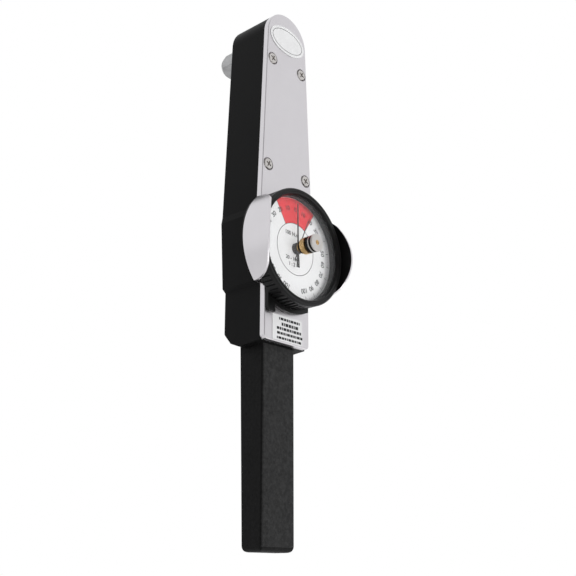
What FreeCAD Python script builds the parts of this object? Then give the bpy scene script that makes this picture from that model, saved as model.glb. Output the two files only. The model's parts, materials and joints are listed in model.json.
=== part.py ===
import FreeCAD, Part

import math
import os

# Dial torque wrench, 12.7 mm (1/2 in) drive, 100 N.m scale. Millimetres.
# Frame: origin on the drive axis at the flat back of the housing. +Z runs from the handle to the head,
# the dial faces -Y, the square drive points along +Y and +X is to the right of the dial.

# --- driving dimensions -------------------------------------------------------------------------
drive_square = 12.7
drive_corner_r = 8.35
drive_length = 20.9
nose_length = 2.6
ball_r = 2.5
ball_hole_r = 2.56
ball_sunk = 1.55           # ball centre below the flat of the square
ball_inset = 7.8           # ball centre to the end of the drive
journal_r = 9.0

body_depth = 32.0          # back of the housing to the front of the cover
cover_t = 3.4
plate_edge_r = 0.5
wall_t = 3.0
head_r = 17.4
head_centre_drop = 1.0      # drive axis to the centre of the head's round end
neck_half_width = 22.6     # just above the gauge bay
bay_half_width = 23.4      # the casting swells a little beside the gauge
bay_foot_half_width = 21.2 # at the lower end of the bay
foot_half_width = 18.8     # below the gauge
bay_rise = 18.8            # dial axis to the top of the bay
bay_fall = 21.4            # dial axis to the lower end of the bay
dial_drop = 142.5          # drive axis to dial axis
foot_drop = 55.3           # dial axis to the bottom of the cover
neck_drop = 56.8           # dial axis to the lowest line of the casting
# the casting's underside, as depth from its back and drop below the dial axis
underside = ((1.2, 48.8), (5.9, 54.3), (12.0, 56.8), (28.6, 55.4))

bezel_r = 34.9
bezel_front = 12.9         # measured forward from the cover, as are all the gauge heights below
bezel_rear = 2.6
bezel_bore_r = 32.2
bezel_lip_r = 30.9
opening_r = 31.2           # of the rings between the dial and the lens
case_wall_r = 31.9
base_r = 37.4              # the case's skirt, which shows below the bezel
base_half_width = 18.5     # to the left, where the lug is
base_right_reach = 15.6
base_t = 2.4
lug_inner_x = 12.6
lug_drop = 39.6            # dial axis to the lower end of the lug on the left
gauge_screw_circle_r = 22.0
case_wall_top = 5.0
dial_front = 6.35
dial_t = 1.0
reflector_top = 8.2
lens_rear = 9.6
lens_front = 11.2
rib_count = 72
rib_depth = 0.7

bush_front = 16.6          # of the brass bush, before the cover; the knob follows it
knob_flange_rear = 19.4
knob_flange_front = 20.1
knob_head_rear = 21.9
knob_front = 22.9
knob_neck_r = 3.9
knob_ring_r = 4.9
knob_head_r = 5.2

guard_r = 36.8
guard_t = 1.2
guard_lift = 1.3           # the ears stand a little above the dial axis
guard_height = 19.6
guard_shoulder_height = 14.2
guard_shoulder_reach = 19.3
guard_reach = 25.7
guard_corner_height = 8.2
guard_corner_reach = 23.8

grip_half_width = 13.3
grip_front = 6.2           # behind the front of the cover
grip_depth_top = 18.4
grip_depth_end = 15.0
grip_edge_r = 1.5
grip_toe_r = 3.6           # rounding of the end's front and back edges
grip_corner_r = 3.0        # rounding of the end's left and right edges
seat_gap = 0.05            # between the casting's underside and the handle's top
grip_end_wall = 5.0        # rubber beyond the end of the core
grip_end_drop = 167.6      # dial axis to the end of the handle

gear_module = 0.3
pinion_teeth = 14
sector_teeth = 18          # teeth cut on the sector, out of sector_full_teeth in a whole wheel
tooth_root_width = 0.46
tooth_tip_width = 0.14

drive_turn = 17.5          # how far the square is turned from level, clockwise from the front
memory_angle = 23.5        # where the memory hand was left, clockwise from zero
screw_head_r = 3.75
badge_long_r, badge_short_r = 15.5, 9.3
badge_z = -1.8
label_half_width = 12.5
label_drops = (39.6, 54.4)
calibration_drop = 44.0    # dial axis to the calibration screw

# --- derived places -----------------------------------------------------------------------------
cover_front = -body_depth
cover_back = cover_front + cover_t
dial_z = -dial_drop
pinion_pitch_r = gear_module * pinion_teeth / 2
sector_pitch_r = dial_drop - pinion_pitch_r
sector_full_teeth = round(2 * sector_pitch_r / gear_module)

# Y positions of the works inside the housing
arm_rear, arm_front = -20.0, -22.0
sector_front = -24.0
works_plate_rear, works_plate_front = -17.1, -18.6
beam_back, beam_front = -5.6, -15.5
hub_rear, hub_front = -4.6, -20.0
front_bush_rear = -24.5
drive_front = -27.4
beam_half_t = 3.0
beam_top = -10.0
beam_end = dial_z - 52.0
core_half_width = 9.0
core_rear, core_front = -12.5, -21.4
core_top = dial_z - 26.0
anchor_pin_drops = (35.0, 47.0)
anchor_pin_r = 2.0
hub_r = 12.6

ball_reach = drive_square / 2 - ball_sunk
ball_direction = FreeCAD.Vector(math.sin(math.radians(drive_turn)), 0, math.cos(math.radians(drive_turn)))

cover_screw_places = [
    (side * half, dial_z + height)
    for half, height in ((13.2, 122.8), (16.6, 50.4))
    for side in (-1, 1)
]
arm_screw_places = [(-9.6, 3.0), (9.6, 3.0)]
sector_screw_places = [(-3.0, 6.2 - sector_pitch_r), (3.0, 6.2 - sector_pitch_r)]
gauge_screw_places = []
for angle in (30, 150, 270):
    across = gauge_screw_circle_r * math.cos(math.radians(angle))
    gauge_screw_places.append((across, dial_z + gauge_screw_circle_r * math.sin(math.radians(angle))))
pillar_places = [(-15.0, dial_z - 6.0), (15.0, dial_z - 6.0), (0.0, dial_z - 12.0)]


def vec(x, y, z):
    return FreeCAD.Vector(x, y, z)


def block(x0, x1, y0, y1, z0, z1):
    low = vec(min(x0, x1), min(y0, y1), min(z0, z1))
    return Part.makeBox(abs(x1 - x0), abs(y1 - y0), abs(z1 - z0), low)


def rod(x, z, r, y0, y1):
    """A round bar along Y."""
    return Part.makeCylinder(r, abs(y1 - y0), vec(x, min(y0, y1), z), vec(0, 1, 0))


def ring(x, z, outer_r, inner_r, y0, y1):
    return rod(x, z, outer_r, y0, y1).cut(rod(x, z, inner_r, min(y0, y1) - 1, max(y0, y1) + 1))


def cone(x, z, r0, r1, y0, y1):
    """A cone along Y with radius r0 at y0 and r1 at y1."""
    along = 1 if y1 > y0 else -1
    return Part.makeCone(r0, r1, abs(y1 - y0), vec(x, y0, z), vec(0, along, 0))


def forward(height):
    """The Y position of a gauge height measured forward from the cover."""
    return cover_front - height


def prism(points, y0, y1):
    """Extrudes a closed polygon of (x, z) points between two Y positions."""
    wire = Part.makePolygon([vec(x, y0, z) for x, z in points + points[:1]])
    return Part.Face(wire).extrude(vec(0, y1 - y0, 0))


def fuse_all(shapes):
    solid = shapes[0]
    for shape in shapes[1:]:
        solid = solid.fuse(shape)
    return solid.removeSplitter()


def turned(shape, degrees, x=0.0, z=0.0):
    """Turns a shape about a Y axis, clockwise as seen from in front of the dial."""
    copy = shape.copy()
    copy.rotate(vec(x, 0, z), vec(0, 1, 0), degrees)
    return copy


def save(name, shape):
    solids = shape.Solids
    result = solids[0] if len(solids) == 1 else Part.makeCompound(solids)
    if not result.isValid():
        print("not valid:", name)
    result.exportStep("parts/" + name + ".step")
    print(name, len(solids), round(result.Volume, 1))
    return result


# --- housing ------------------------------------------------------------------------------------
def body_outline(inset, bottom_z, half_bay):
    """The body's front view as straight sides under a round head, drawn in by an inset."""
    bay_top = dial_z + bay_rise
    bay_bottom = dial_z - bay_fall
    half_neck = neck_half_width - inset
    half_foot = foot_half_width - inset
    r = head_r - inset
    sides = [
        (r, -head_centre_drop),
        (half_neck, bay_top + 4),
        (half_bay, bay_top),
        (half_bay - bay_half_width + bay_foot_half_width, bay_bottom),
        (half_foot, bay_bottom - 2),
        (half_foot, bottom_z),
    ]
    left = [(-x, z) for x, z in sides]
    points = [vec(x, 0, z) for x, z in sides + left[::-1]]
    edges = [Part.LineSegment(a, b).toShape() for a, b in zip(points[:-1], points[1:])]
    edges.append(Part.Arc(points[-1], vec(0, 0, r - head_centre_drop), points[0]).toShape())
    return Part.Face(Part.Wire(edges))


def body_prism(inset, y0, y1, bottom_z, half_bay):
    face = body_outline(inset, bottom_z, half_bay)
    face.translate(vec(0, y0, 0))
    return face.extrude(vec(0, y1 - y0, 0))


def underside_z(y):
    """The height just under the casting's underside at a Y position."""
    for (depth_a, drop_a), (depth_b, drop_b) in zip(underside[:-1], underside[1:]):
        if depth_a <= -y <= depth_b:
            share = (-y - depth_a) / (depth_b - depth_a)
            return dial_z - drop_a - share * (drop_b - drop_a) - seat_gap


def make_housing():
    bottom = dial_z - neck_drop
    shell = body_prism(0.0, 0.0, cover_back, bottom, bay_half_width)
    rear_edges = [
        e for e in shell.Edges
        if e.BoundBox.YMax < 0.01 and e.BoundBox.YMin > -0.01
    ]
    shell = shell.makeFillet(1.2, rear_edges)
    heel_points = [(-depth, dial_z - drop) for depth, drop in underside]
    heel_points = [(1, bottom - 5), (1, dial_z - 45.1)] + heel_points + [(cover_back, bottom - 5)]
    heel_wire = Part.makePolygon([vec(-30, y, z) for y, z in heel_points + heel_points[:1]])
    shell = shell.cut(Part.Face(heel_wire).extrude(vec(60, 0, 0)))
    floor = dial_z - 30.0
    cavity = body_prism(wall_t, -wall_t, cover_back - 1, floor, bay_half_width - wall_t)
    shell = shell.cut(cavity)
    bosses = []
    for x, z in cover_screw_places:
        boss = rod(x, z, 4.2, -wall_t + 0.5, cover_back)
        bosses.append(boss.common(body_prism(1.0, 0, cover_back, floor, bay_half_width)))
    shell = fuse_all([shell] + bosses)
    for x, z in cover_screw_places:
        shell = shell.cut(rod(x, z, 2.0, -12.0, cover_back - 1))
    shell = shell.cut(rod(0, 0, 12.0, 1, -wall_t - 1))
    socket = block(-core_half_width, core_half_width, core_rear, core_front, bottom - 1, core_top)
    beam_slot = block(-beam_half_t, beam_half_t, beam_back, core_rear, beam_end, floor + 1)
    shell = shell.cut(socket).cut(beam_slot)
    for drop in anchor_pin_drops:
        shell = shell.cut(rod(0, dial_z - drop, anchor_pin_r + 0.5, -1.2, cover_back - 1))
    shell = shell.cut(rod(0, dial_z - calibration_drop, 2.0, core_front, cover_back - 1))
    return shell


def make_cover():
    bottom = dial_z - foot_drop
    plate = body_prism(0.0, cover_back, cover_front, bottom, bay_half_width)
    foot_corners = [
        e for e in plate.Edges
        if e.BoundBox.ZMax < bottom + 0.01 + cover_t and e.BoundBox.XLength < 0.01
        and e.BoundBox.ZLength < 0.01
    ]
    plate = plate.makeFillet(2.5, foot_corners)
    front_edges = [e for e in plate.Edges if e.BoundBox.YMax < cover_front + 0.01]
    plate = plate.makeFillet(plate_edge_r, front_edges)
    guard_z = dial_z + guard_lift
    wing_rear = cover_front + guard_t
    wings = rod(0, dial_z, guard_r, wing_rear, cover_front)
    wings = wings.common(
        block(-40, 40, wing_rear, cover_front, guard_z - guard_reach, guard_z + guard_reach))
    plate = fuse_all([plate, wings])
    walls = ring(0, dial_z, guard_r, guard_r - guard_t, cover_front, forward(guard_height + 1))
    profile_points = [
        vec(-40, cover_front, guard_z - guard_reach),
        vec(-40, forward(guard_shoulder_height), guard_z - guard_shoulder_reach),
        vec(-40, forward(guard_shoulder_height), guard_z + guard_shoulder_reach),
        vec(-40, cover_front, guard_z + guard_reach),
    ]
    corners = [
        vec(-40, forward(guard_corner_height), guard_z - guard_corner_reach),
        vec(-40, forward(guard_corner_height), guard_z + guard_corner_reach),
    ]
    crown = vec(-40, forward(guard_height), guard_z)
    edges = [
        Part.Arc(profile_points[0], corners[0], profile_points[1]).toShape(),
        Part.Arc(profile_points[1], crown, profile_points[2]).toShape(),
        Part.Arc(profile_points[2], corners[1], profile_points[3]).toShape(),
        Part.LineSegment(profile_points[3], profile_points[0]).toShape(),
    ]
    profile = Part.Face(Part.Wire(edges)).extrude(vec(80, 0, 0))
    plate = fuse_all([plate, walls.common(profile)])
    for x, z in cover_screw_places:
        plate = plate.cut(rod(x, z, screw_head_r + 0.3, cover_front - 1, cover_front + 1.2))
        plate = plate.cut(rod(x, z, 2.3, cover_front, cover_back + 1))
    plate = plate.cut(rod(0, dial_z, 3.0, cover_front - 1, cover_back + 1))
    plate = plate.cut(rod(0, dial_z - calibration_drop, 2.0, cover_front - 1, cover_back + 1))
    return plate


def phillips_screw(x, z, face_y, head_r, head_t, shank_r, shank_len):
    """A pan head Phillips screw along Y whose head stands forward from face_y."""
    head = cone(x, z, head_r, head_r * 0.82, face_y, face_y - head_t)
    shank = rod(x, z, shank_r, face_y, face_y + shank_len)
    screw = head.fuse(shank)
    arm = head_r * 0.55
    width = head_r * 0.13
    depth = head_t * 0.7
    top = face_y - head_t
    for half_x, half_z in ((arm, width), (width, arm)):
        screw = screw.cut(block(x - half_x, x + half_x, top - 1, top + depth, z - half_z, z + half_z))
    return screw


def make_cover_screws():
    seat = cover_front + 1.2
    screws = [phillips_screw(x, z, seat, screw_head_r, 1.6, 1.98, 10.0) for x, z in cover_screw_places]
    return Part.makeCompound([turned(s, 28, x, z) for s, (x, z) in zip(screws, cover_screw_places)])


def make_badge():
    """The blank oval plate on the head."""
    ellipse = Part.Ellipse(vec(0, 0, 0), badge_long_r, badge_short_r).toShape()
    face = Part.Face(Part.Wire([ellipse]))
    badge = face.extrude(vec(0, 0, 0.3))
    badge.rotate(vec(0, 0, 0), vec(1, 0, 0), 90)
    badge.translate(vec(0, cover_front, badge_z))
    return badge


def make_label():
    """The blank label over the calibration screw."""
    top, bottom = (dial_z - drop for drop in label_drops)
    return block(-label_half_width, label_half_width, cover_front, cover_front - 0.2, bottom, top)


# --- drive --------------------------------------------------------------------------------------
def make_square_drive():
    half = drive_square / 2
    square = block(-half, half, 0.3, drive_length, -half, half)
    square = turned(square, drive_turn).common(rod(0, 0, drive_corner_r, 0.3, drive_length))
    nose = cone(0, 0, drive_corner_r, drive_corner_r - 2.2, drive_length - nose_length, drive_length)
    nose = nose.fuse(rod(0, 0, drive_corner_r, 0, drive_length - nose_length))
    square = square.common(nose)
    collar = rod(0, 0, journal_r, hub_rear, 0.3)
    inner = rod(0, 0, 7.5, hub_rear, hub_front)
    front = rod(0, 0, 6.0, hub_front, drive_front)
    drive = fuse_all([square, collar, inner, front])
    ball_place = vec(0, drive_length - ball_inset, 0)
    hole = Part.makeCylinder(ball_hole_r, 12.0, ball_place, ball_direction)
    drive = drive.cut(hole)
    groove = ring(0, 0, 7.0, 5.4, front_bush_rear + 1.2, front_bush_rear + 2.2)
    return drive.cut(groove)


def make_drive_hub():
    """The forked lever hub pressed on the drive's inner end."""
    hub = rod(0, 0, hub_r, hub_rear, hub_front)
    lug = block(-7.4, 7.4, hub_rear, hub_front, -6.0, -18.0)
    hub = fuse_all([hub, lug])
    hub = hub.cut(rod(0, 0, 7.5, hub_rear + 1, hub_front - 1))
    slot_half = beam_half_t + 1.1
    hub = hub.cut(block(-slot_half, slot_half, hub_rear + 1, hub_front + 2.6, beam_top + 0.8, -20))
    for x, z in arm_screw_places:
        hub = hub.cut(rod(x, z, 1.0, hub_front + 5, hub_front - 1))
    return hub


def make_indicator_arm():
    arm_end = -(sector_pitch_r - 3.2)
    head = rod(0, 0, 12.0, arm_rear, arm_front)
    strip = prism([(-7.0, -4.0), (7.0, -4.0), (4.6, -60.0), (4.6, arm_end), (-4.6, arm_end), (-4.6, -60.0)],
                  arm_rear, arm_front)
    arm = fuse_all([head, strip])
    arm = arm.cut(rod(0, 0, 6.0, arm_rear + 1, arm_front - 1))
    for x, z in arm_screw_places:
        arm = arm.cut(rod(x, z, 1.2, arm_rear + 1, arm_front - 1))
    for x, z in sector_screw_places:
        arm = arm.cut(rod(x, z, 0.8, arm_rear + 1, arm_front - 1))
    for z in (-35.0, -60.0, -85.0, -110.0):
        arm = arm.cut(rod(0, z, 2.4, arm_rear + 1, arm_front - 1))
    return arm


def tooth_points(pitch_r, angle, centre_z):
    """The four corners of a straight-flanked tooth."""
    root = pitch_r - gear_module * 1.2
    tip = pitch_r + gear_module * 0.9
    corners = []
    for r, half in ((root, -tooth_root_width / 2), (tip, -tooth_tip_width / 2),
                    (tip, tooth_tip_width / 2), (root, tooth_root_width / 2)):
        x = r * math.sin(angle) + half * math.cos(angle)
        z = r * math.cos(angle) - half * math.sin(angle)
        corners.append((x, centre_z + z))
    return corners


def make_sector():
    """The toothed sector at the lower end of the arm, centred on the drive axis."""
    step = 2 * math.pi / sector_full_teeth
    half_span = sector_teeth / 2 * step
    points = []
    for k in range(sector_teeth):
        angle = math.pi - half_span + (k + 0.5) * step
        points += tooth_points(sector_pitch_r, angle, 0.0)
    inner_r = sector_pitch_r - 8.0
    for angle in (math.pi + half_span, math.pi - half_span):
        points.append((inner_r * math.sin(angle), inner_r * math.cos(angle)))
    sector = prism(points, arm_front, sector_front)
    for x, z in sector_screw_places:
        sector = sector.cut(rod(x, z, 0.9, arm_front + 1, sector_front - 1))
    return sector


def make_pinion():
    points = []
    step = 2 * math.pi / pinion_teeth
    for k in range(pinion_teeth):
        points += tooth_points(pinion_pitch_r, k * step, dial_z)
    gear = prism(points, arm_front + 0.4, sector_front - 0.4)
    return gear.cut(rod(0, dial_z, 1.0, arm_front + 1, sector_front - 1))


def small_screws(places, face_y, head_r, head_t, shank_r, shank_len):
    return Part.makeCompound(
        [phillips_screw(x, z, face_y, head_r, head_t, shank_r, shank_len) for x, z in places]
    )


def make_detent_ball():
    centre = ball_direction * ball_reach
    return Part.makeSphere(ball_r, vec(centre.x, drive_length - ball_inset, centre.z))


def coil(radius, wire_r, pitch, height):
    helix = Part.makeHelix(pitch, height, radius)
    start = Part.Wire([Part.Circle(vec(radius, 0, 0), vec(0, 1, 0), wire_r).toShape()])
    return Part.Wire(helix).makePipeShell([start], True, True)


def make_detent_spring():
    spring = coil(1.7, 0.25, 0.8, ball_reach - 3.15)
    spring.translate(vec(0, 0, 0.45))
    spring.rotate(vec(0, 0, 0), vec(0, 1, 0), drive_turn)
    spring.translate(vec(0, drive_length - ball_inset, 0))
    return spring


# --- beam and handle ----------------------------------------------------------------------------
def make_beam():
    beam = block(-beam_half_t, beam_half_t, beam_back, beam_front, beam_top, beam_end)
    for drop in anchor_pin_drops:
        beam = beam.cut(rod(0, dial_z - drop, anchor_pin_r, 0, beam_front - 1))
    return beam


def make_handle_core():
    end = dial_z - grip_end_drop + grip_end_wall
    core = block(-core_half_width, core_half_width, core_rear, core_front, end, core_top)
    slot = block(-beam_half_t, beam_half_t, core_rear + 1, beam_front, beam_end, core_top + 1)
    core = core.cut(slot)
    for drop in anchor_pin_drops:
        core = core.cut(rod(0, dial_z - drop, anchor_pin_r, 0, core_front - 1))
    return core


def make_anchor_pins():
    pins = [rod(0, dial_z - drop, anchor_pin_r, -1.6, core_front + 0.6) for drop in anchor_pin_drops]
    return Part.makeCompound(pins)


def make_grip():
    top = dial_z - neck_drop
    end = dial_z - grip_end_drop
    front = cover_front + grip_front
    profile = [
        (front, underside_z(front)),
        (front + grip_depth_top, underside_z(front + grip_depth_top)),
        (front + grip_depth_end, end),
        (front, end),
    ]
    crest = -underside[2][0]
    profile.insert(1, (crest, top - seat_gap))
    outline = [vec(-grip_half_width, y, z) for y, z in profile]
    face = Part.Face(Part.makePolygon(outline + outline[:1]))
    grip = face.extrude(vec(2 * grip_half_width, 0, 0))
    toe_edges = [e for e in grip.Edges if e.BoundBox.ZMax < end + 0.1 and e.BoundBox.XLength > 1]
    grip = grip.makeFillet(grip_toe_r, toe_edges)
    outer_edges = [e for e in grip.Edges if e.BoundBox.ZMin < top - 3 and e.BoundBox.XLength < 1]
    grip = grip.makeFillet(grip_edge_r, outer_edges)
    room = block(-grip_half_width, grip_half_width, front - 1, front + grip_depth_top + 1, end, top + 3)
    corner_edges = [e for e in room.Edges if e.BoundBox.ZMax < end + 0.1 and e.BoundBox.YLength > 1]
    grip = grip.common(room.makeFillet(grip_corner_r, corner_edges))
    core = block(-core_half_width, core_half_width, core_rear, core_front, end + grip_end_wall, top + 1)
    return grip.cut(core)


def make_calibration_screw():
    z = dial_z - calibration_drop
    screw = rod(0, z, 1.97, cover_front + 0.4, core_front - 0.2)
    return screw.cut(block(-2.2, 2.2, cover_front + 0.3, cover_front + 1.6, z - 0.35, z + 0.35))


# --- gauge --------------------------------------------------------------------------------------
def make_gauge_base():
    """The fixed black case: a floor, a skirt with a lug, and the round wall that the bezel turns on."""
    floor_t = 1.6
    skirt = rod(0, dial_z, base_r, cover_front, forward(base_t))
    skirt = skirt.common(block(-base_half_width, base_right_reach, cover_front, forward(base_t),
                               dial_z - base_r, dial_z))
    lug = block(-base_half_width, -lug_inner_x, cover_front, forward(base_t),
                dial_z - lug_drop, dial_z - 20.0)
    corners = [
        e for e in lug.Edges
        if e.BoundBox.ZMax < dial_z - lug_drop + 0.1 and e.BoundBox.XMax < 0.1 - base_half_width
    ]
    flange = fuse_all([skirt, lug.makeFillet(3.0, corners)])
    floor = rod(0, dial_z, case_wall_r, cover_front, forward(floor_t))
    wall = ring(0, dial_z, case_wall_r, case_wall_r - 1.8, cover_front, forward(case_wall_top))
    inside = rod(0, dial_z, case_wall_r - 1.8, forward(floor_t), forward(case_wall_top))
    base = fuse_all([flange.cut(inside), floor, wall])
    base = base.cut(rod(0, dial_z, 3.0, cover_front + 1, forward(3)))
    for x, z in gauge_screw_places:
        base = base.cut(rod(x, z, 1.1, cover_front + 1, forward(3)))
    return base


def make_works_plate():
    plate = prism([(-18.0, dial_z - 3), (18.0, dial_z - 3), (18.0, dial_z - 9), (4.0, dial_z - 16),
                   (-4.0, dial_z - 16), (-18.0, dial_z - 9)], works_plate_rear, works_plate_front)
    tongue = rod(0, dial_z, 3.4, works_plate_rear, works_plate_front)
    neck = block(-3.4, 3.4, works_plate_rear, works_plate_front, dial_z - 4, dial_z)
    plate = fuse_all([plate, tongue, neck])
    plate = plate.cut(rod(0, dial_z, 0.65, works_plate_rear + 1, works_plate_front - 1))
    for x, z in pillar_places:
        plate = plate.cut(rod(x, z, 0.8, works_plate_rear + 1, works_plate_front - 1))
    return plate


def make_pillars():
    posts = [rod(x, z, 1.8, cover_back, works_plate_front) for x, z in pillar_places]
    return Part.makeCompound([p.cut(rod(x, z, 0.8, works_plate_front - 3, 0))
                              for p, (x, z) in zip(posts, pillar_places)])


def rear_screw(x, z):
    """A slotted screw that clamps the works plate to a pillar from behind."""
    head = rod(x, z, 1.6, works_plate_rear, works_plate_rear + 0.9)
    screw = head.fuse(rod(x, z, 0.8, works_plate_rear, works_plate_front - 2.8))
    return screw.cut(block(x - 2, x + 2, works_plate_rear + 0.5, works_plate_rear + 2, z - 0.2, z + 0.2))


def make_arbor():
    hand_top = forward(9.2)
    shaft = rod(0, dial_z, 1.0, works_plate_front - 0.3, hand_top)
    pivot = rod(0, dial_z, 0.6, works_plate_front - 0.3, works_plate_rear - 0.2)
    return fuse_all([shaft, pivot])


def spiral(r0, r1, turns, wire_t, y0, y1):
    """A flat spiral strip about the dial axis."""
    count = int(turns * 24)
    outer, inner = [], []
    for k in range(count + 1):
        a = 2 * math.pi * turns * k / count
        r = r0 + (r1 - r0) * k / count
        outer.append((r * math.cos(a), dial_z + r * math.sin(a)))
        inner.append(((r - wire_t) * math.cos(a), dial_z + (r - wire_t) * math.sin(a)))
    return prism(outer + inner[::-1], y0, y1)


def make_hairspring():
    collet = ring(0, dial_z, 2.2, 1.0, forward(2.2), forward(3.8))
    strip = spiral(2.35, 8.0, 5.0, 0.22, forward(2.6), forward(3.4))
    return fuse_all([collet, strip])


def make_hairspring_stud():
    return rod(0, dial_z + 10.2, 0.9, forward(1.6), forward(4.2))


def make_dial():
    disc = rod(0, dial_z, bezel_bore_r - 0.1, forward(dial_front - dial_t), forward(dial_front))
    return disc.cut(rod(0, dial_z, 1.6, forward(dial_front - dial_t) + 1, forward(dial_front) - 1))


def make_reflector():
    ring_top = forward(reflector_top)
    solid = rod(0, dial_z, bezel_bore_r - 0.1, forward(dial_front), ring_top)
    return solid.cut(cone(0, dial_z, opening_r - 0.1, opening_r, forward(dial_front), ring_top))


def make_gasket():
    return ring(0, dial_z, bezel_bore_r - 0.1, opening_r, forward(reflector_top), forward(lens_rear))


def make_lens():
    disc = rod(0, dial_z, bezel_bore_r - 0.1, forward(lens_rear), forward(lens_front))
    return disc.cut(rod(0, dial_z, 2.6, forward(lens_rear) + 1, forward(lens_front) - 1))


def make_bezel():
    points = []
    shares = ((0.0, 0.0), (0.5, 0.0), (0.62, 1.0), (0.88, 1.0))
    for k in range(rib_count):
        for share, sink in shares:
            a = 2 * math.pi * (k + share) / rib_count
            r = bezel_r - rib_depth * sink
            points.append((r * math.sin(a), dial_z + r * math.cos(a)))
    rim_start = bezel_front - 2.4
    ribbed = prism(points, forward(bezel_rear), forward(rim_start))
    rim = rod(0, dial_z, bezel_r, forward(rim_start), forward(bezel_front - 0.6))
    nose = cone(0, dial_z, bezel_r, bezel_r - 0.6, forward(bezel_front - 0.6), forward(bezel_front))
    solid = fuse_all([ribbed, rim, nose])
    solid = solid.cut(rod(0, dial_z, bezel_bore_r, forward(bezel_rear) + 1, forward(lens_front)))
    solid = solid.cut(cone(0, dial_z, bezel_lip_r, bezel_lip_r + 0.7, forward(lens_front) + 0.01,
                           forward(bezel_front) - 0.01))
    groove = ring(0, dial_z, 33.0, 32.6, forward(bezel_front - 0.35), forward(bezel_front + 1))
    return solid.cut(groove)


def make_pointer():
    """The main hand: a slim blade with a broad tail, on the dark hub."""
    y0, y1 = forward(8.2), forward(8.6)
    blade = prism([(-0.55, dial_z), (-0.28, dial_z + 27.5), (0, dial_z + 28.2), (0.28, dial_z + 27.5),
                   (0.55, dial_z)], y0, y1)
    tail = prism([(-0.6, dial_z), (0.6, dial_z), (1.2, dial_z - 11.5), (-1.2, dial_z - 11.5)], y0, y1)
    eye = rod(0, dial_z, 3.4, y0, y1)
    return fuse_all([blade, tail, eye]).cut(rod(0, dial_z, 1.0, y0 + 1, y1 - 1))


def make_pointer_hub():
    hub = rod(0, dial_z, 3.4, forward(dial_front + 0.35), forward(8.2))
    return hub.cut(rod(0, dial_z, 1.0, forward(6), forward(9)))


def make_memory_hand():
    y0, y1 = forward(9.0), forward(9.25)
    blade = prism([(-0.35, dial_z), (-0.2, dial_z + 21.5), (0.2, dial_z + 21.5), (0.35, dial_z)], y0, y1)
    tail = prism([(-0.3, dial_z), (0.3, dial_z), (0.3, dial_z - 9.0), (-0.3, dial_z - 9.0)], y0, y1)
    hand = fuse_all([blade, tail, rod(0, dial_z, 2.2, y0, y1)])
    hand = hand.cut(rod(0, dial_z, 1.3, y0 + 1, y1 - 1))
    return turned(hand, memory_angle, 0, dial_z)


def make_memory_shaft():
    shaft = rod(0, dial_z, 1.5, forward(9.25), forward(21.4))
    hand_seat = ring(0, dial_z, 1.3, 1.1, forward(9.0), forward(9.3))
    shaft = fuse_all([shaft, hand_seat])
    return shaft.cut(rod(0, dial_z, 1.1, forward(8), forward(9.9)))


def make_lens_bush():
    """The brass bush that carries the memory shaft in the lens."""
    collar = rod(0, dial_z, 4.9, forward(13.4), forward(bush_front))
    neck = rod(0, dial_z, 3.2, forward(12.2), forward(13.4))
    sleeve = rod(0, dial_z, 2.6, forward(9.7), forward(12.2))
    bush = fuse_all([collar, neck, sleeve])
    return bush.cut(rod(0, dial_z, 1.55, forward(9), forward(bush_front + 1)))


def make_lens_washer():
    return ring(0, dial_z, 3.8, 2.6, forward(lens_front), forward(12.2))


def make_knob():
    """The turned knob: a grooved neck and a flanged head."""
    neck = rod(0, dial_z, knob_neck_r, forward(bush_front + 0.3), forward(knob_head_rear))
    flange = rod(0, dial_z, knob_ring_r, forward(knob_flange_rear), forward(knob_flange_front))
    head = rod(0, dial_z, knob_head_r, forward(knob_head_rear), forward(knob_front - 0.5))
    nose = cone(0, dial_z, knob_head_r, knob_head_r - 0.4, forward(knob_front - 0.5), forward(knob_front))
    knob = fuse_all([neck, flange, head, nose])
    return knob.cut(rod(0, dial_z, 1.5, forward(bush_front), forward(knob_front + 1)))


def make_knob_rings():
    spans = [(knob_flange_rear - 1.65, knob_flange_rear - 0.05), (knob_flange_front + 0.05, knob_head_rear - 0.05)]
    rings = [ring(0, dial_z, knob_ring_r, knob_neck_r, forward(rear), forward(front)) for rear, front in spans]
    return Part.makeCompound(rings)


def make_knob_screw():
    head = rod(0, dial_z, 1.5, forward(21.4), forward(knob_front - 0.1))
    for x in (-0.75, 0.75):
        head = head.cut(rod(x, dial_z, 0.32, forward(knob_front - 0.6), forward(knob_front)))
    return head


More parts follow.
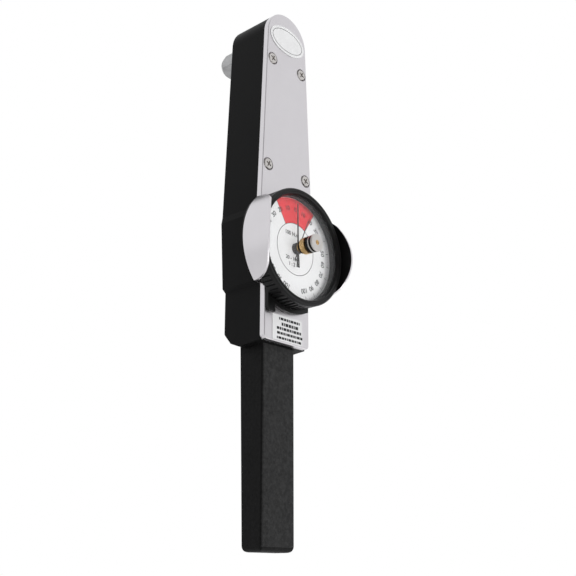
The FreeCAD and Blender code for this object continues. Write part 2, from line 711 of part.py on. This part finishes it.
def main():
    os.makedirs("parts", exist_ok=True)
    save("housing_casting", make_housing())
    save("front_cover", make_cover())
    save("cover_screws", make_cover_screws())
    save("oval_badge", make_badge())
    save("calibration_label", make_label())
    save("drive_bush", ring(0, 0, 12.0, journal_r + 0.05, -0.2, -wall_t - 1.0))
    save("thrust_washer", ring(0, 0, 11.4, journal_r + 0.05, -wall_t - 1.1, hub_rear))
    save("front_bush", ring(0, 0, 10.0, 6.05, cover_back, front_bush_rear))
    save("flex_beam", make_beam())
    save("handle_core", make_handle_core())
    save("anchor_pins", make_anchor_pins())
    save("handle_grip", make_grip())
    save("calibration_screw", make_calibration_screw())
    save("gauge_base", make_gauge_base())
    save("gauge_screws", small_screws(gauge_screw_places, forward(1.6), 2.1, 1.3, 1.0, 1.6))
    save("arbor_bush", ring(0, dial_z, 3.0, 1.05, cover_back, forward(1.8)))
    save("works_plate", make_works_plate())
    save("works_pillars", make_pillars())
    save("works_screws", Part.makeCompound([rear_screw(x, z) for x, z in pillar_places]))
    save("hairspring_stud", make_hairspring_stud())

    save("square_drive", make_square_drive())
    save("drive_hub", make_drive_hub())
    save("indicator_arm", make_indicator_arm())
    save("arm_screws", small_screws(arm_screw_places, arm_front, 1.9, 1.2, 1.0, 5.0))
    save("toothed_sector", make_sector())
    save("sector_screws", small_screws(sector_screw_places, sector_front, 1.4, 0.8, 0.8, 3.8))
    save("retaining_ring", ring(0, 0, 7.6, 5.4, front_bush_rear + 1.25, front_bush_rear + 2.15))
    save("detent_ball", make_detent_ball())
    save("detent_spring", make_detent_spring())

    save("pointer_arbor", make_arbor())
    save("pinion", make_pinion())
    save("hairspring", make_hairspring())
    save("pointer_hub", make_pointer_hub())
    save("pointer", make_pointer())

    save("bezel_ring", make_bezel())
    save("dial_face", make_dial())
    save("reflector_ring", make_reflector())
    save("lens_gasket", make_gasket())
    save("lens", make_lens())
    save("lens_washer", make_lens_washer())
    save("lens_bush", make_lens_bush())

    save("memory_pointer", make_memory_hand())
    save("memory_shaft", make_memory_shaft())
    save("memory_knob", make_knob())
    save("knob_rings", make_knob_rings())
    save("knob_screw", make_knob_screw())


main()
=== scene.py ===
import json
import math

import bmesh
import bpy
from mathutils import Matrix, Vector


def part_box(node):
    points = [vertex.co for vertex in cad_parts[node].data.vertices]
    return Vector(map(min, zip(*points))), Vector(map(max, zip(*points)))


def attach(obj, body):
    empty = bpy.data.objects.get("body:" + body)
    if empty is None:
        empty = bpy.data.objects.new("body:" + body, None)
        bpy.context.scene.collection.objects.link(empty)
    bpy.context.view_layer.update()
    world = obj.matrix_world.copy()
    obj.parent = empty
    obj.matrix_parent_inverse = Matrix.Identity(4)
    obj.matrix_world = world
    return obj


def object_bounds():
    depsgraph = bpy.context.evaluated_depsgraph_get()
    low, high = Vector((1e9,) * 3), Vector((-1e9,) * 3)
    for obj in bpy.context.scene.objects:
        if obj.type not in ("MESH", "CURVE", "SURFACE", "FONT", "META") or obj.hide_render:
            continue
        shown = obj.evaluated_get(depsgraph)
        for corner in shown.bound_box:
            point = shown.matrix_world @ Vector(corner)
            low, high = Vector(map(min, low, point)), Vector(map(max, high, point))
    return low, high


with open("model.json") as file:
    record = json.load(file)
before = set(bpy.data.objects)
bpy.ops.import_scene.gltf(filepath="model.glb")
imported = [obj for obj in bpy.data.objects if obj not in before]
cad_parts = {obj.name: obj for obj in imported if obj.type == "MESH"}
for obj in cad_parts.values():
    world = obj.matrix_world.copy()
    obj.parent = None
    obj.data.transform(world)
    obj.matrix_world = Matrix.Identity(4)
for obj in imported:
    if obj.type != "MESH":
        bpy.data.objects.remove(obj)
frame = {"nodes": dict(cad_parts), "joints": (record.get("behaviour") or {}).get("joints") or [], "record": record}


def plain_box():
    return [[float(v) for v in corner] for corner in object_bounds()]


cad_box = plain_box()
nodes = frame["nodes"]
MM = 0.001

# --- places taken from the frame ---------------------------------------------------------------
joints = {joint["name"]: joint for joint in frame["joints"]}
dial_centre = Vector(joints["bezel_turn"]["pos_m"])
cover_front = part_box("gauge_base")[1].y
dial_face_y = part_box("dial_face")[0].y
badge_low, badge_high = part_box("oval_badge")
label_low, label_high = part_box("calibration_label")

# --- the printed scale -------------------------------------------------------------------------
full_scale = 100
degrees_per_unit = 1.62
minor_step, major_step = 2, 10
tick_outer_r = 30.6 * MM
minor_tick, major_tick = 1.4 * MM, 2.6 * MM            # lengths
minor_tick_width, major_tick_width = 0.16 * MM, 0.32 * MM
number_r = 24.5 * MM
number_height = 2.8 * MM
stroke_swell = 0.07 * MM
words_x = -3.0 * MM
dial_lines = [              # name, words, height above the axis and of the letters, mm
    ("unit", "100 N.m", 8.7, 2.4),
    ("range", "20 - 100", -6.4, 2.2),
    ("division", "1 : 2", -9.9, 2.2),
]
red_outer_r = 31.0 * MM
red_limit = 20
red_edge_width = 0.2 * MM
circle_r = 15.8 * MM
circle_outside, circle_inside = 0.05 * MM, 0.3 * MM

# --- the other prints --------------------------------------------------------------------------
badge_line_inset, badge_line_width = 1.8 * MM, 0.3 * MM
label_top_margin = 1.3 * MM
label_row_pitch = 2.8 * MM
label_rows = [(1.5, 8.6), (1.8, 6.4), (1.6, 10.4), (1.5, 10.2), (1.4, 10.4)]   # height and half width, mm
label_middle_x = 1.5 * MM
dash_shortest, dash_step, dash_gap = 0.9 * MM, 0.5 * MM, 0.45 * MM
print_t = 0.03 * MM

# --- where a node's material changes -----------------------------------------------------------
wing_x = 24.6 * MM          # the cover's wings are beyond the casting's side
guard_rim = 1.0 * MM        # of the ears, stays silver
# the handle's sides and end, picked by these normal slopes, get a darker colour that is painted shade
side_slope, end_slope = 0.7, -0.3

# --- the camera, in the frame's axes ----------------------------------------------------------
camera_place = Vector((-0.3665, -0.3584, -0.3239))
view_direction = Vector((0.7109, 0.6319, 0.3087)).normalized()
focal_length_mm = 56.22
sensor_mm = 36.0

# --- light -------------------------------------------------------------------------------------
room_light, room_shade = 1.0, 0.4
shade_direction = Vector((-0.6, -0.8, 0.0))
shade_start, shade_full = 0.2, 0.7      # cosines of the angle to that direction
key_direction = Vector((0.63, -0.77, 0.1)).normalized()
key_distance, key_size, key_power = 1.2, 0.6, 11.0
floor_half, floor_gap = 6.0, 0.14


# --- materials ---------------------------------------------------------------------------------
class Graph:
    """A node tree with a Principled shader, built one node at a time."""

    def __init__(self, name):
        self.material = bpy.data.materials.new(name)
        self.material.use_nodes = True
        self.tree = self.material.node_tree
        self.tree.nodes.clear()
        self.shader = self.tree.nodes.new("ShaderNodeBsdfPrincipled")
        output = self.tree.nodes.new("ShaderNodeOutputMaterial")
        self.link(self.shader.outputs["BSDF"], output.inputs["Surface"])
        self.place = self.tree.nodes.new("ShaderNodeTexCoord").outputs["Object"]

    def link(self, out_socket, in_socket):
        self.tree.links.new(out_socket, in_socket)

    def stretched(self, scale):
        mapping = self.tree.nodes.new("ShaderNodeMapping")
        mapping.inputs["Scale"].default_value = scale
        self.link(self.place, mapping.inputs["Vector"])
        return mapping.outputs["Vector"]

    def noise(self, size, detail=4.0, roughness=0.55, stretch=(1, 1, 1)):
        """Noise whose blobs are about size metres across."""
        node = self.tree.nodes.new("ShaderNodeTexNoise")
        node.inputs["Scale"].default_value = 1.0 / size
        node.inputs["Detail"].default_value = detail
        node.inputs["Roughness"].default_value = roughness
        self.link(self.stretched(stretch), node.inputs["Vector"])
        return node.outputs["Fac"]

    def cells(self, size):
        node = self.tree.nodes.new("ShaderNodeTexVoronoi")
        node.feature = "SMOOTH_F1"
        node.inputs["Scale"].default_value = 1.0 / size
        self.link(self.place, node.inputs["Vector"])
        return node.outputs["Distance"]

    def ramp(self, value, stops):
        node = self.tree.nodes.new("ShaderNodeValToRGB")
        elements = node.color_ramp.elements
        while len(elements) < len(stops):
            elements.new(0.5)
        for element, (position, color) in zip(elements, stops):
            element.position = position
            element.color = (*color, 1.0)
        self.link(value, node.inputs["Fac"])
        return node.outputs["Color"]

    def span(self, value, low, high):
        node = self.tree.nodes.new("ShaderNodeMapRange")
        node.inputs["From Min"].default_value = 0.3
        node.inputs["From Max"].default_value = 0.7
        node.inputs["To Min"].default_value = low
        node.inputs["To Max"].default_value = high
        self.link(value, node.inputs["Value"])
        return node.outputs["Result"]

    def math(self, operation, *values):
        node = self.tree.nodes.new("ShaderNodeMath")
        node.operation = operation
        for socket, value in zip(node.inputs, values):
            if isinstance(value, float):
                socket.default_value = value
            else:
                self.link(value, socket)
        return node.outputs["Value"]

    def bump(self, value, depth, strength=1.0, under=None):
        node = self.tree.nodes.new("ShaderNodeBump")
        node.inputs["Strength"].default_value = strength
        node.inputs["Distance"].default_value = depth
        self.link(value, node.inputs["Height"])
        if under is not None:
            self.link(under, node.inputs["Normal"])
        return node.outputs["Normal"]


def surface(name, dark, light, patch, rough, grain, depth, metallic=0.0, stretch=(1, 1, 1), specular=0.5):
    """A material whose colour and roughness drift over patches and whose surface has a fine grain."""
    graph = Graph(name)
    shader = graph.shader
    drift = graph.noise(patch, 5.0, 0.6)
    fine = graph.noise(grain, 3.0, 0.5, stretch)
    shader.inputs["Metallic"].default_value = metallic
    shader.inputs["Specular IOR Level"].default_value = specular
    graph.link(graph.ramp(drift, [(0.3, dark), (0.7, light)]), shader.inputs["Base Color"])
    graph.link(graph.span(drift, rough[0], rough[1]), shader.inputs["Roughness"])
    graph.link(graph.bump(fine, depth), shader.inputs["Normal"])
    return graph.material


def grey(value, warmth=0.0):
    return (value * (1 + warmth), value, value * (1 - warmth))


def make_casting_coat():
    """Black powder coat: a fine pebble over a faint unevenness."""
    graph = Graph("black_powder_coat")
    shader = graph.shader
    drift = graph.noise(18 * MM, 4.0)
    pebble = graph.cells(0.55 * MM)
    fine = graph.noise(0.25 * MM, 3.0)
    graph.link(graph.ramp(drift, [(0.3, grey(0.004)), (0.7, grey(0.007))]), shader.inputs["Base Color"])
    graph.link(graph.span(drift, 0.42, 0.52), shader.inputs["Roughness"])
    shader.inputs["Specular IOR Level"].default_value = 0.06
    soft = graph.bump(pebble, 0.03 * MM, 0.5)
    graph.link(graph.bump(fine, 0.012 * MM, 0.4, soft), shader.inputs["Normal"])
    return graph.material


def make_grip_skin(name, dark, light, fold_depth):
    """The handle's black skin: shallow hide-like folds with fine pores."""
    graph = Graph(name)
    shader = graph.shader
    folds = graph.noise(1.9 * MM, 6.0, 0.62)
    pores = graph.cells(0.7 * MM)
    drift = graph.noise(14 * MM, 3.0)
    graph.link(graph.ramp(folds, [(0.35, grey(dark)), (0.65, grey(light))]), shader.inputs["Base Color"])
    graph.link(graph.span(drift, 0.48, 0.62), shader.inputs["Roughness"])
    shader.inputs["Specular IOR Level"].default_value = 0.08
    soft = graph.bump(folds, fold_depth, 0.6)
    graph.link(graph.bump(pores, 0.05 * MM, 0.35, soft), shader.inputs["Normal"])
    return graph.material


def make_cover_silver():
    """Satin silver, with the black coat drawn round the rims of the wings behind the cover's front."""
    graph = Graph("satin_silver")
    shader = graph.shader
    drift = graph.noise(30 * MM, 4.0)
    fine = graph.noise(0.3 * MM, 3.0)
    silver = graph.ramp(drift, [(0.3, (0.635, 0.615, 0.63)), (0.7, (0.675, 0.655, 0.67))])
    place = graph.tree.nodes.new("ShaderNodeSeparateXYZ")
    graph.link(graph.place, place.inputs["Vector"])
    beside = graph.math("GREATER_THAN", graph.math("ABSOLUTE", place.outputs["X"]), wing_x)
    behind = graph.math("GREATER_THAN", place.outputs["Y"], cover_front)
    mix = graph.tree.nodes.new("ShaderNodeMix")
    mix.data_type = "RGBA"
    mix.inputs[7].default_value = (*grey(0.01), 1.0)
    graph.link(graph.math("MULTIPLY", beside, behind), mix.inputs[0])
    graph.link(silver, mix.inputs[6])
    graph.link(mix.outputs[2], shader.inputs["Base Color"])
    graph.link(graph.span(drift, 0.3, 0.34), shader.inputs["Roughness"])
    graph.link(graph.bump(fine, 0.002 * MM), shader.inputs["Normal"])
    shader.inputs["Metallic"].default_value = 1.0
    return graph.material


def make_lens_plastic():
    """Clear acrylic with the faintest haze."""
    graph = Graph("clear_lens")
    shader = graph.shader
    haze = graph.noise(9 * MM, 3.0)
    tint = graph.ramp(haze, [(0.3, (0.93, 0.95, 0.96)), (0.7, (0.98, 0.99, 1.0))])
    graph.link(tint, shader.inputs["Base Color"])
    graph.link(graph.span(haze, 0.02, 0.05), shader.inputs["Roughness"])
    shader.inputs["Alpha"].default_value = 0.03
    shader.inputs["IOR"].default_value = 1.45
    return graph.material


def make_materials():
    """The special materials, and the plain ones from a table."""
    made = {
        "black_coat": make_casting_coat(),
        "grip_black": make_grip_skin("wrinkled_grip", 0.013, 0.025, 0.5 * MM),
        # grip_side: smoother folds of the skin, with a darker colour that is painted shade on the handle's sides
        # and end
        "grip_side": make_grip_skin("smoother_grip_painted_shade", 0.004, 0.008, 0.25 * MM),
        "clear_lens": make_lens_plastic(),
        "satin_silver": make_cover_silver(),
        "tool_steel": surface("tool_steel", grey(0.2), grey(0.3), 9 * MM, (0.3, 0.45), 0.2 * MM, 0.006 * MM,
                              1.0, (1.0, 1.0, 0.06)),
    }
    brass = (0.42, 0.27, 0.11), (0.62, 0.42, 0.2)
    bronze = (0.24, 0.13, 0.06), (0.4, 0.24, 0.12)
    red = (0.58, 0.026, 0.034), (0.64, 0.036, 0.045)
    metals = [              # slot, name, colours, patch mm, roughness, grain mm, grain depth mm
        ("bright_steel", "bright_steel", (grey(0.5), grey(0.66)), 6, (0.16, 0.3), 0.15, 0.003),
        ("chrome_plate", "chrome_plate", (grey(0.5, 0.04), grey(0.62, 0.04)), 5, (0.3, 0.4), 0.2, 0.003),
        ("drive_steel", "drive_steel", (grey(0.3), grey(0.42)), 6, (0.3, 0.42), 0.2, 0.005),
        ("brass", "turned_brass", brass, 4, (0.16, 0.32), 0.1, 0.004),
        ("bronze", "sintered_bronze", bronze, 2, (0.35, 0.55), 0.15, 0.01),
    ]
    coats = [               # slot, colours, patch mm, roughness, grain mm, grain depth mm, specular level
        ("black_plastic", (grey(0.005), grey(0.009)), 12, (0.3, 0.4), 0.3, 0.006, 0.16),
        ("dial_white", (grey(0.64), grey(0.68)), 16, (0.5, 0.6), 0.2, 0.002, 0.2),
        ("label_white", (grey(0.55), grey(0.6)), 10, (0.45, 0.55), 0.2, 0.002, 0.2),
        ("hand_black", (grey(0.012), grey(0.03)), 3, (0.3, 0.42), 0.1, 0.003, 0.2),
        ("seal_rubber", (grey(0.006), grey(0.012)), 4, (0.5, 0.65), 0.15, 0.01, 0.15),
        ("print_black", (grey(0.012), grey(0.024)), 2, (0.45, 0.55), 0.1, 0.001, 0.1),
        ("print_red", red, 8, (0.5, 0.6), 0.15, 0.001, 0.1),
    ]
    for slot, name, (dark, light), patch, rough, grain, depth in metals:
        made[slot] = surface(name, dark, light, patch * MM, rough, grain * MM, depth * MM, 1.0)
    for slot, (dark, light), patch, rough, grain, depth, specular in coats:
        made[slot] = surface(slot, dark, light, patch * MM, rough, grain * MM, depth * MM,
                             specular=specular)
    return made


materials = make_materials()


def dress_nodes():
    for part in frame["record"]["subparts"]:
        mesh = nodes[part["node"]].data
        mesh.materials.clear()
        mesh.materials.append(materials[part["material_slot"]])


def blacken_guard_insides():
    """The guard ears are silver outside and black inside."""
    guard = nodes["front_cover"].data
    guard.materials.append(materials["black_coat"])
    outer_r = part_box("front_cover")[1].x
    inner_limit = outer_r - guard_rim
    for polygon in guard.polygons:
        away = polygon.center - dial_centre
        reach = math.hypot(away.x, away.z)
        faces_in = polygon.normal.x * away.x + polygon.normal.z * away.z < -0.5 * reach
        if polygon.center.y < cover_front - 0.1 * MM and reach < inner_limit and faces_in:
            polygon.material_index = 1


def dress_grip_sides():
    """The handle's sides and its rounded end are smoother than its front and back, and darker with painted shade:
    their darker colour stands in for the shade that falls on them.
    """
    grip = nodes["handle_grip"].data
    grip.materials.append(materials["grip_side"])
    for polygon in grip.polygons:
        if abs(polygon.normal.x) > side_slope or polygon.normal.z < end_slope:
            polygon.material_index = 1


# --- small made pieces -------------------------------------------------------------------------
def finish_piece(name, mesh, material, body):
    piece = bpy.data.objects.new(name, mesh)
    bpy.context.scene.collection.objects.link(piece)
    mesh.materials.clear()
    mesh.materials.append(materials[material])
    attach(piece, body)
    return piece


def prints(name, outlines, y, thickness, material, body):
    """Thin raised prints: each outline is a closed list of (x, z) points, facing -Y."""
    mesh = bpy.data.meshes.new(name)
    work = bmesh.new()
    for outline in outlines:
        rear = [work.verts.new((x, y, z)) for x, z in outline]
        front = [work.verts.new((x, y - thickness, z)) for x, z in outline]
        work.faces.new(front)
        count = len(outline)
        for k in range(count):
            following = (k + 1) % count
            work.faces.new((rear[k], rear[following], front[following], front[k]))
    bmesh.ops.recalc_face_normals(work, faces=work.faces)
    work.to_mesh(mesh)
    work.free()
    return finish_piece(name, mesh, material, body)


def on_dial(r, degrees):
    """The (x, z) point at a radius and a clockwise angle from the top of the dial."""
    angle = math.radians(degrees)
    return (dial_centre.x + r * math.sin(angle), dial_centre.z + r * math.cos(angle))


def band(inner_r, outer_r, start, end, steps):
    """Closed outlines that tile a stretch of a flat ring on the dial."""
    outlines = []
    for k in range(steps):
        a = start + (end - start) * k / steps
        b = start + (end - start) * (k + 1) / steps
        corners = [(inner_r, a), (outer_r, a), (outer_r, b), (inner_r, b)]
        outlines.append([on_dial(r, degrees) for r, degrees in corners])
    return outlines


def radial_bar(inner_r, outer_r, degrees, width):
    angle = math.radians(degrees)
    side = (0.5 * width * math.cos(angle), -0.5 * width * math.sin(angle))
    low, high = on_dial(inner_r, degrees), on_dial(outer_r, degrees)
    return [
        (low[0] - side[0], low[1] - side[1]),
        (high[0] - side[0], high[1] - side[1]),
        (high[0] + side[0], high[1] + side[1]),
        (low[0] + side[0], low[1] + side[1]),
    ]


def writing(name, words, r, degrees, turn, height, y, material, body):
    """Flat figures centred at a place on the dial and turned clockwise by turn degrees."""
    curve = bpy.data.curves.new(name, "FONT")
    curve.body = words
    curve.size = height * 1.4
    curve.align_x = "CENTER"
    curve.align_y = "CENTER"
    curve.extrude = print_t / 2
    curve.offset = stroke_swell
    source = bpy.data.objects.new(name + "_source", curve)
    bpy.context.scene.collection.objects.link(source)
    bpy.context.view_layer.update()
    mesh = bpy.data.meshes.new_from_object(source)
    bpy.data.objects.remove(source)
    x, z = on_dial(r, degrees)
    place = Matrix.Translation((x, y - print_t / 2, z))
    upright = Matrix.Rotation(math.pi / 2, 4, "X")
    mesh.transform(place @ Matrix.Rotation(math.radians(turn), 4, "Y") @ upright)
    return finish_piece(name, mesh, material, body)


def print_dial():
    minor, major = [], []
    for unit in range(-full_scale, full_scale + 1, minor_step):
        degrees = unit * degrees_per_unit
        if unit % major_step == 0:
            major.append(radial_bar(tick_outer_r - major_tick, tick_outer_r, degrees, major_tick_width))
        else:
            minor.append(radial_bar(tick_outer_r - minor_tick, tick_outer_r, degrees, minor_tick_width))
    ink_y = dial_face_y - 2 * print_t
    prints("scale_minor_ticks", minor, ink_y, print_t, "print_black", "bezel")
    prints("scale_major_ticks", major, ink_y, print_t, "print_black", "bezel")
    edge = red_limit * degrees_per_unit
    red = band(circle_r, red_outer_r, -edge, edge, 24)
    prints("red_zone", red, dial_face_y, print_t, "print_red", "bezel")
    rims = [radial_bar(circle_r, red_outer_r, side * edge, red_edge_width) for side in (-1, 1)]
    prints("red_zone_edges", rims, ink_y, print_t, "print_black", "bezel")
    circle = band(circle_r - circle_inside, circle_r + circle_outside, 0, 360, 120)
    prints("printed_circle", circle, dial_face_y - print_t, print_t, "print_black", "bezel")
    for unit in range(-full_scale, full_scale + 1, major_step):
        degrees = unit * degrees_per_unit
        side = "right" if unit > 0 else "left"
        name = f"figure_{side}_{abs(unit)}"
        writing(name, str(abs(unit)), number_r, degrees, degrees, number_height, dial_face_y - print_t,
                "print_black", "bezel")
    for name, words, z, size in dial_lines:
        r = math.hypot(words_x, z * MM)
        degrees = math.degrees(math.atan2(words_x, z * MM))
        writing("figure_" + name, words, r, degrees, 0, size * MM, dial_face_y, "print_black", "bezel")


def ellipse_band(centre_x, centre_z, long_r, short_r, width, steps):
    outlines = []
    for k in range(steps):
        a = 2 * math.pi * k / steps
        b = 2 * math.pi * (k + 1) / steps
        points = []
        for angle, inset in ((a, 0), (b, 0), (b, width), (a, width)):
            points.append((centre_x + (long_r - inset) * math.cos(angle),
                           centre_z + (short_r - inset) * math.sin(angle)))
        outlines.append(points)
    return outlines


def print_plates():
    """A plain line round the oval plate, and rows of short dashes in place of the label's wording."""
    middle_x = (badge_low.x + badge_high.x) / 2
    middle_z = (badge_low.z + badge_high.z) / 2
    long_r = (badge_high.x - badge_low.x) / 2 - badge_line_inset
    short_r = (badge_high.z - badge_low.z) / 2 - badge_line_inset
    line = ellipse_band(middle_x, middle_z, long_r, short_r, badge_line_width, 96)
    prints("badge_line", line, badge_low.y, print_t, "print_black", "housing")
    dashes = []
    for row, (height, half_width) in enumerate(label_rows):
        z = label_high.z - label_top_margin - row * label_row_pitch
        x = label_middle_x - half_width * MM
        column = 0
        while x < label_middle_x + half_width * MM:
            length = dash_shortest + dash_step * ((3 * column + 5 * row) % 4)
            dashes.append([(x, z), (x + length, z), (x + length, z - height * MM), (x, z - height * MM)])
            x += length + dash_gap
            column += 1
    prints("label_dashes", dashes, label_low.y, print_t, "print_black", "housing")


# --- surroundings ------------------------------------------------------------------------------
def make_floor():
    mesh = bpy.data.meshes.new("studio_floor")
    half, level = floor_half, cad_box[0][2] - floor_gap
    corners = [(-half, -half, level), (half, -half, level), (half, half, level), (-half, half, level)]
    mesh.from_pydata(corners, [], [(0, 1, 2, 3)])
    floor = bpy.data.objects.new("studio_floor", mesh)
    bpy.context.scene.collection.objects.link(floor)
    paper = surface("studio_floor", grey(0.9), grey(0.93), 0.5, (0.8, 0.9), 2 * MM, 0.02 * MM)
    mesh.materials.append(paper)


def make_world():
    """White where it is seen directly; as light, a pale room that is dim on one side."""
    world = bpy.data.worlds.new("studio")
    bpy.context.scene.world = world
    world.use_nodes = True
    tree = world.node_tree
    tree.nodes.clear()
    seen = tree.nodes.new("ShaderNodeBackground")
    seen.inputs["Color"].default_value = (1, 1, 1, 1)
    room = tree.nodes.new("ShaderNodeBackground")
    room.inputs["Color"].default_value = (0.98, 0.985, 1, 1)
    toward_shade = tree.nodes.new("ShaderNodeVectorMath")
    toward_shade.operation = "DOT_PRODUCT"
    toward_shade.inputs[1].default_value = shade_direction
    glow = tree.nodes.new("ShaderNodeMapRange")
    glow.interpolation_type = "SMOOTHSTEP"
    glow.inputs["From Min"].default_value = shade_start
    glow.inputs["From Max"].default_value = shade_full
    glow.inputs["To Min"].default_value = room_light
    glow.inputs["To Max"].default_value = room_shade
    mix = tree.nodes.new("ShaderNodeMixShader")
    output = tree.nodes.new("ShaderNodeOutputWorld")
    place = tree.nodes.new("ShaderNodeTexCoord")
    ray = tree.nodes.new("ShaderNodeLightPath")
    tree.links.new(place.outputs["Generated"], toward_shade.inputs[0])
    tree.links.new(toward_shade.outputs["Value"], glow.inputs["Value"])
    tree.links.new(glow.outputs["Result"], room.inputs["Strength"])
    tree.links.new(ray.outputs["Is Camera Ray"], mix.inputs["Fac"])
    tree.links.new(room.outputs["Background"], mix.inputs[1])
    tree.links.new(seen.outputs["Background"], mix.inputs[2])
    tree.links.new(mix.outputs["Shader"], output.inputs["Surface"])


def area_light(name, place, target, size, power):
    light = bpy.data.lights.new(name, "AREA")
    light.shape = "DISK"
    light.size = size
    light.energy = power
    lamp = bpy.data.objects.new(name, light)
    bpy.context.scene.collection.objects.link(lamp)
    lamp.location = place
    lamp.rotation_euler = (target - Vector(place)).to_track_quat("-Z", "Y").to_euler()
    return lamp


def make_lights():
    """A soft key from the right. Only the bezel shades it, and it makes no highlights."""
    key = area_light("key", dial_centre + key_distance * key_direction, dial_centre, key_size, key_power)
    key.visible_glossy = False
    casters = bpy.data.collections.new("key_shadow_casters")
    casters.objects.link(nodes["bezel_ring"])
    key.light_linking.blocker_collection = casters


def make_camera():
    camera = bpy.data.objects.new("camera", bpy.data.cameras.new("camera"))
    bpy.context.scene.collection.objects.link(camera)
    camera.data.lens = focal_length_mm
    camera.data.sensor_width = sensor_mm
    camera.data.clip_start = 0.01
    camera.location = camera_place
    camera.rotation_euler = view_direction.to_track_quat("-Z", "Y").to_euler()
    bpy.context.scene.camera = camera


dress_nodes()
blacken_guard_insides()
dress_grip_sides()
print_dial()
print_plates()
make_floor()
make_world()
make_lights()
make_camera()
bpy.context.scene.view_settings.view_transform = "Standard"
